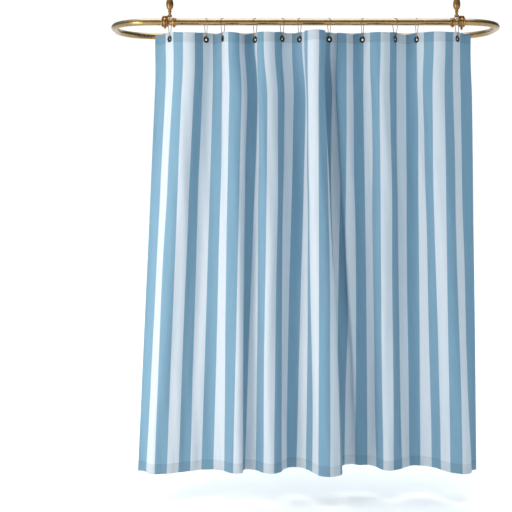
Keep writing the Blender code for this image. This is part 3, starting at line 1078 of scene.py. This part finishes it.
@dataclass
class Cloth:
    """The folded cloth, laid out so that it keeps its flat width at every height."""

    finishes: Finishes
    folds: tuple[Fold, ...] = (
        Fold(-0.635, 0.025, -0.640, 0.035, -0.700, -0.015),
        Fold(-0.495, -0.055, -0.505, -0.050, -0.620, -0.080),
        Fold(-0.390, 0.020, -0.400, 0.020, -0.405, -0.005),
        Fold(-0.310, -0.050, -0.290, -0.055, -0.285, -0.070),
        Fold(-0.235, 0.020, -0.225, 0.010, -0.250, 0.000),
        Fold(-0.180, -0.070, -0.180, -0.070, -0.150, -0.075),
        Fold(-0.060, 0.010, -0.035, 0.030, -0.055, 0.030),
        Fold(0.030, -0.125, 0.035, -0.105, 0.085, -0.115),
        Fold(0.110, 0.005, 0.110, 0.015, 0.195, 0.070),
        Fold(0.135, -0.035, 0.135, -0.040, 0.220, 0.055),
        Fold(0.210, 0.020, 0.235, 0.025, 0.260, 0.060),
        Fold(0.290, -0.060, 0.295, -0.045, 0.340, -0.030),
        Fold(0.420, 0.025, 0.420, 0.035, 0.465, 0.055),
        Fold(0.525, -0.075, 0.525, -0.075, 0.640, -0.075),
        Fold(0.685, 0.015, 0.690, 0.005, 0.710, -0.010),
    )
    width: float = 1.9812
    drop: float = 1.8288
    top_below_rail: float = 0.0430
    eyelet_below_rail: float = 0.0720
    strip: float = 0.0150
    thickness: float = 0.0008
    hole_r: float = 0.0098
    header_turn: float = 0.0415
    hem_turn: float = 0.0425
    side_turn: float = 0.0150
    hem_gap: float = 0.0013
    hem_side: Face = Face.BATH
    fine_pitch: float = 0.003
    rail_y: float = -0.200
    rail_z: float = -0.300
    hooks_x: tuple[float, ...] = ()
    spots: list[float] = field(default_factory=list)
    headings: list[float] = field(default_factory=list)

    def trace(self, down: float, marks: np.ndarray) -> np.ndarray:
        """Follow the cloth in plan at a height.

        Args:
            down: Distance below the top edge.
            marks: Distances along the cloth.

        Returns:
            X, Y from the rail, and heading, for each mark.
        """
        x, y, steep, length = Drape(self.folds, self.width).plan(down)
        fine = np.arange(0.0, self.width + 0.0005, 0.001)
        ends = np.concatenate([[0.0], np.cumsum(length)])
        which = np.clip(np.searchsorted(ends, fine, side="right") - 1, 0, len(length) - 1)
        along = np.clip(fine - ends[which], 0.0, length[which])
        lean = steep[which] * np.sin(math.pi * along / length[which])
        mid = (lean[1:] + lean[:-1]) / 2
        xs = x + np.concatenate([[0.0], np.cumsum(np.cos(mid)) * 0.001])
        ys = y + np.concatenate([[0.0], np.cumsum(np.sin(mid)) * 0.001])
        return np.stack([np.interp(marks, fine, xs), np.interp(marks, fine, ys),
                         np.interp(marks, fine, lean)], axis=1)

    def find_spots(self) -> None:
        """Find where each eyelet sits along the cloth, and which way the cloth faces there."""
        marks = np.arange(0.0, self.width, 0.001)
        line = self.trace(0.0, marks)
        for x in self.hooks_x:
            near = float(marks[int(np.abs(line[:, 0] - x).argmin())])
            self.spots.append(near)
            ends = self.trace(0.0, np.array([near - self.strip, near + self.strip]))
            self.headings.append(math.atan2(ends[1, 1] - ends[0, 1], ends[1, 0] - ends[0, 0]))

    def columns(self) -> np.ndarray:
        """Distances along the cloth of the mesh's columns, close together at the eyelets."""
        marks = set(np.round(np.linspace(0.0, self.width, 290), 5))
        for spot in self.spots:
            marks = {m for m in marks if abs(m - spot) > 0.0165}
            marks |= {round(spot + k * self.fine_pitch, 5) for k in range(-5, 6)}
        return np.array(sorted(marks))

    def rows(self) -> np.ndarray:
        """Distances down the cloth of the mesh's rows, close together at the eyelets."""
        eyelet = self.eyelet_below_rail - self.top_below_rail
        fine = [eyelet + k * self.fine_pitch for k in range(-5, 6)]
        top = [0.0, 0.005, 0.010]
        rest = list(np.linspace(fine[-1] + 0.006, 0.12, 8))
        body = list(np.linspace(0.12, self.drop - 0.05, 92))[1:]
        hem = list(np.linspace(self.drop - 0.05, self.drop, 6))[1:]
        return np.array(top + fine + rest + body + hem)

    def surface(self, marks: np.ndarray, downs: np.ndarray) -> np.ndarray:
        """Place the cloth's middle surface.

        Args:
            marks: Distances along the cloth.
            downs: Distances below its top edge.

        Returns:
            Points, row by row.
        """
        out = np.zeros((len(downs), len(marks), 3))
        for r, down in enumerate(downs):
            flat = self.flatten(self.trace(down, marks), marks, down)
            out[r, :, 0] = flat[:, 0]
            out[r, :, 1] = flat[:, 1] + self.rail_y
            out[r, :, 2] = self.rail_z - self.top_below_rail - down
        self.crumple(out, marks, downs)
        return out

    def flatten(self, line: np.ndarray, marks: np.ndarray, down: float) -> np.ndarray:
        """Keep the cloth flat where an eyelet grips it.

        Args:
            line: The plan of the cloth.
            marks: Distances along it.
            down: Distance below the top edge.

        Returns:
            X and Y of each mark.
        """
        out = line[:, :2].copy()
        hold = 1.0 - min(1.0, max(0.0, (down - 0.055) / 0.10))
        if hold <= 0.0:
            return out
        hold = hold * hold * (3 - 2 * hold)
        for spot in self.spots:
            ends = self.trace(down, np.array([spot - self.strip, spot + self.strip]))[:, :2]
            near = np.abs(marks - spot) <= self.strip + 1e-6
            share = (marks[near] - spot + self.strip) / (2 * self.strip)
            chord = ends[0] + share[:, None] * (ends[1] - ends[0])
            out[near] = (1 - hold) * out[near] + hold * chord
        return out

    def crumple(self, points: np.ndarray, marks: np.ndarray, downs: np.ndarray) -> None:
        """Add slack, drag lines and small unevenness, away from the eyelets.

        Args:
            points: The surface, changed in place.
            marks: Distances along the cloth.
            downs: Distances below its top edge.
        """
        u, v = np.meshgrid(marks, downs)
        gap = np.min(np.abs(u[..., None] - np.array(self.spots)), axis=-1)
        eyelet = self.eyelet_below_rail - self.top_below_rail
        grip = np.exp(-(((gap / 0.030) ** 2) + ((v - eyelet) / 0.050) ** 2))
        ease = np.clip(v / 0.35, 0.0, 1.0)
        small = (0.0016 * np.sin(u * 61.0 + 2.2 * np.sin(v * 3.1 + u * 5.0))
                 + 0.0011 * np.sin(u * 117.0 - v * 4.3 + 1.7 * np.sin(v * 5.2)))
        wide = 0.0030 * np.sin(u * 23.0 + v * 2.6) * ease
        shift = (small * (0.35 + 0.65 * ease) + wide) * (1.0 - grip)
        along = np.gradient(points, axis=1)
        side = np.stack([-along[..., 1], along[..., 0]], axis=-1)
        side /= np.maximum(np.linalg.norm(side, axis=-1, keepdims=True), 1e-9)
        points[..., 0] += side[..., 0] * shift
        points[..., 1] += side[..., 1] * shift
        # The top edge drops a little where no hook holds it.
        slack = 0.0075 * (1 - np.exp(-(gap / 0.045) ** 2)) * np.exp(-(v / 0.25))
        points[..., 2] -= slack

    def build(self) -> bpy.types.Object:
        """Model the panel and its hems, and dress them in cloth.

        Returns:
            The panel.
        """
        marks, downs = self.columns(), self.rows()
        points = self.surface(marks, downs)
        panel = self.sheet_mesh("curtain_cloth", points, marks, downs)
        self.thicken(panel)
        dress(panel, self.finishes.cloth)
        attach(panel, "curtain")
        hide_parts("curtain_panel")
        hems = self.hems(marks, downs, points)
        for piece in [panel] + hems:
            self.keep()
            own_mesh(piece)
        LOG.info("made %s", panel.name)
        return panel

    def keep(self) -> float:
        """Share of its width that the curtain keeps when it is drawn back."""
        joint = next(j for j in frame["joints"] if j["name"] == "curtain_draw")
        travel = abs(joint["range_m"][0])
        return 1.0 - travel / (self.hooks_x[-1] - self.hooks_x[0])

    def sheet_mesh(
        self, name: str, points: np.ndarray, marks: np.ndarray, downs: np.ndarray,
    ) -> bpy.types.Object:
        """Make a pierced sheet from a grid of points, with its flat place as a UV map.

        Args:
            name: The piece's name.
            points: The grid, row by row.
            marks: Distance along the cloth of each column.
            downs: Distance down the cloth of each row.

        Returns:
            The sheet.
        """
        rows, cols = points.shape[:2]
        eyelet = self.eyelet_below_rail - self.top_below_rail
        faces = []
        for r in range(rows - 1):
            for c in range(cols - 1):
                if self.in_hole((marks[c] + marks[c + 1]) / 2,
                                (downs[r] + downs[r + 1]) / 2, eyelet):
                    continue
                a = r * cols + c
                faces.append((a, a + cols, a + cols + 1, a + 1))
        mesh = bpy.data.meshes.new(name)
        mesh.from_pydata([tuple(p) for p in points.reshape(-1, 3)], [], faces)
        flat = mesh.uv_layers.new(name="flat")
        where = np.empty(len(mesh.loops), dtype=np.int32)
        mesh.loops.foreach_get("vertex_index", where)
        place = np.stack([marks[where % cols], downs[where // cols]], axis=1)
        flat.data.foreach_set("uv", place.astype(np.float32).ravel())
        piece = bpy.data.objects.new(name, mesh)
        bpy.context.scene.collection.objects.link(piece)
        work = bmesh.new()
        work.from_mesh(mesh)
        loose = [v for v in work.verts if not v.link_faces]
        bmesh.ops.delete(work, geom=loose, context="VERTS")
        work.to_mesh(mesh)
        work.free()
        return piece

    def in_hole(self, mark: float, down: float, eyelet: float) -> bool:
        """Tell whether a place on the flat cloth is cut out for an eyelet."""
        return any(math.hypot(mark - s, down - eyelet) < self.hole_r for s in self.spots)

    def thicken(self, piece: bpy.types.Object) -> None:
        """Give a sheet its thickness, half to each side, and smooth it.

        Args:
            piece: The sheet.
        """
        thick = piece.modifiers.new("thickness", "SOLIDIFY")
        thick.thickness = self.thickness
        thick.offset = 0.0
        take_up(piece)
        bpy.ops.object.modifier_apply(modifier=thick.name)
        bpy.ops.object.shade_smooth_by_angle(angle=math.radians(50))
        piece.select_set(False)

    def hems(self, marks: np.ndarray, downs: np.ndarray,
             points: np.ndarray) -> list[bpy.types.Object]:
        """Model the turned header, hem and side hems on the bath side.

        Args:
            marks: Distance along the cloth of each column.
            downs: Distance down the cloth of each row.
            points: The panel's surface.

        Returns:
            The hem pieces.
        """
        along = np.gradient(points, axis=1)
        side = np.stack([-along[..., 1], along[..., 0], np.zeros(along.shape[:2])], axis=-1)
        side /= np.maximum(np.linalg.norm(side, axis=-1, keepdims=True), 1e-9)
        back = points + side * (self.hem_gap * self.hem_side.value)
        hem_line = self.drop - self.hem_turn
        bands = {
            "header_hem": (downs <= self.header_turn, np.ones(len(marks), dtype=bool)),
            "bottom_hem": (downs >= hem_line, np.ones(len(marks), dtype=bool)),
        }
        middle = (downs > self.header_turn) & (downs < hem_line)
        bands["side_hem_left"] = (middle, marks <= self.side_turn)
        bands["side_hem_right"] = (middle, marks >= self.width - self.side_turn)
        made = []
        for name, (rows, cols) in bands.items():
            grid = back[rows][:, cols]
            piece = self.sheet_mesh(name, grid, marks[cols], downs[rows])
            self.thicken(piece)
            dress(piece, self.finishes.hem_cloth)
            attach(piece, "curtain")
            LOG.info("made %s", name)
            made.append(piece)
        return made


# ---------------------------------------------------------------------------------------
# Hooks and eyelets
# ---------------------------------------------------------------------------------------


@dataclass
class Hangers:
    """Wire hooks over the rail and the eyelets that they hold."""

    finishes: Finishes
    cloth: Cloth
    wire_r: float = 0.0013
    top_r: float = 0.0186
    foot_r: float = 0.0058
    foot_rise: float = 0.0030
    turn_deg: float = 28.0
    turn_penned_deg: float = 16.0
    tube_r: float = 0.014
    wire_sides: int = 14

    def body(self, n: int) -> str:
        """Body that hanger n rides on, from 0."""
        return "curtain" if n == 0 else f"runner_{n + 1:02d}"

    def build(self) -> None:
        """Model one hook and one eyelet and set a copy at every place."""
        hook, ring = self.hook(), self.eyelet()
        for n in range(len(self.cloth.hooks_x)):
            self.place(n, hook, ring)
        discard(hook)
        discard(ring)

    def place(self, n: int, hook: bpy.types.Object, ring: bpy.types.Object) -> None:
        """Set one hook and one eyelet.

        Args:
            n: Its number from the left, from 0.
            hook: The pattern hook.
            ring: The pattern eyelet.
        """
        spot = middle_of(f"eyelet_{n + 1:02d}")
        heading = self.cloth.headings[n]
        turn = Matrix.Rotation(heading, 4, "Z") @ Matrix.Rotation(-math.pi / 2, 4, "X")
        eyelet = twin(ring, f"cloth_eyelet_{n + 1:02d}", Matrix.Translation(spot) @ turn)
        soften(eyelet, 45.0)
        dress(eyelet, self.finishes.eyelet_black)
        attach(eyelet, self.body(n))
        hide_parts(f"eyelet_{n + 1:02d}")
        last = len(self.cloth.hooks_x) - 1
        most = self.turn_penned_deg if n in (0, last) else self.turn_deg
        yaw = max(-most, min(most, math.degrees(heading) * 0.6))
        lean = math.asin((spot.y - self.cloth.rail_y) / self.cloth.eyelet_below_rail)
        where = (Matrix.Translation((spot.x, self.cloth.rail_y, self.cloth.rail_z))
                 @ Matrix.Rotation(lean, 4, "X")
                 @ Matrix.Rotation(math.radians(yaw), 4, "Z"))
        wire = twin(hook, f"wire_hook_{n + 1:02d}", where)
        soften(wire, 60.0)
        dress(wire, self.finishes.wire_brass)
        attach(wire, self.body(n))
        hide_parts(f"hook_{n + 1:02d}")
        LOG.info("made %s and %s", wire.name, eyelet.name)

    def hook(self) -> bpy.types.Object:
        """Bend a closed pear-shaped wire loop in the plane across the rail.

        Returns:
            The pattern hook.
        """
        top = self.tube_r + 0.00045 + self.wire_r
        centre = top - self.top_r
        foot = -self.cloth.eyelet_below_rail + self.foot_rise + self.foot_r
        fall = math.asin((self.top_r - self.foot_r) / (centre - foot))
        leg = (centre - foot) * math.cos(fall)
        start = Vector((0, self.top_r * math.cos(fall), centre - self.top_r * math.sin(fall)))
        free_hands()
        bpy.ops.mesh.primitive_circle_add(
            vertices=self.wire_sides, radius=self.wire_r, location=start,
            rotation=(-fall, 0, 0),
        )
        piece = bpy.context.object
        piece.name = "hook_pattern"
        bpy.ops.object.transform_apply(location=True, rotation=True, scale=True)
        bpy.ops.object.mode_set(mode="EDIT")
        bpy.ops.mesh.select_all(action="SELECT")
        bpy.ops.mesh.spin(steps=30, angle=-math.pi - 2 * fall, center=(0, 0, centre),
                          axis=(1, 0, 0))
        down = Vector((0, math.sin(fall), -math.cos(fall))) * leg
        for _ in range(4):
            bpy.ops.mesh.extrude_edges_move(
                TRANSFORM_OT_translate={"value": tuple(down / 4)})
        bpy.ops.mesh.spin(steps=14, angle=2 * fall - math.pi, center=(0, 0, foot),
                          axis=(1, 0, 0))
        up = Vector((0, math.sin(fall), math.cos(fall))) * leg
        for _ in range(4):
            bpy.ops.mesh.extrude_edges_move(
                TRANSFORM_OT_translate={"value": tuple(up / 4)})
        return settle(piece)

    def eyelet(self) -> bpy.types.Object:
        """Turn a two-flanged eyelet about Z.

        Returns:
            The pattern eyelet.
        """
        outline = [
            (0.0052, -0.0010), (0.0057, -0.0016), (0.0078, -0.0018), (0.0110, -0.0020),
            (0.0130, -0.0018), (0.0138, -0.0014), (0.0140, -0.0007), (0.0138, -0.0005),
            (0.0077, -0.0005), (0.0077, 0.0019), (0.0138, 0.0019), (0.0140, 0.0021),
            (0.0138, 0.0027), (0.0130, 0.0031), (0.0110, 0.0032), (0.0078, 0.0030),
            (0.0057, 0.0027), (0.0052, 0.0022),
        ]
        return lathe("eyelet_pattern", outline, 36, closed=True)


# ---------------------------------------------------------------------------------------
# The whole object
# ---------------------------------------------------------------------------------------


def dress_kept_nodes(finishes: Finishes) -> None:
    """Give the CAD nodes that stay their real finish.

    Args:
        finishes: The finishes.
    """
    for name in ("rail_back_sleeve", "rail_grub_screw_left", "rail_grub_screw_right"):
        node = bpy.data.objects[name]
        for slot in node.material_slots:
            slot.material = finishes.sleeve_steel


def main() -> None:
    """Build the studio and every piece of the object."""
    logging.basicConfig(level=logging.INFO, format="%(message)s")
    Studio().build()
    finishes = Finishes()
    rail = Rail(finishes)
    rail.build()
    for hand in Hand:
        Support(hand, finishes, rail.height).build()
    hooks = tuple(middle_of(f"eyelet_{k:02d}").x for k in range(1, HANGERS + 1))
    cloth = Cloth(finishes, hooks_x=hooks, rail_z=rail.height)
    cloth.find_spots()
    cloth.build()
    Hangers(finishes, cloth).build()
    dress_kept_nodes(finishes)


if __name__ == "__main__":
    main()
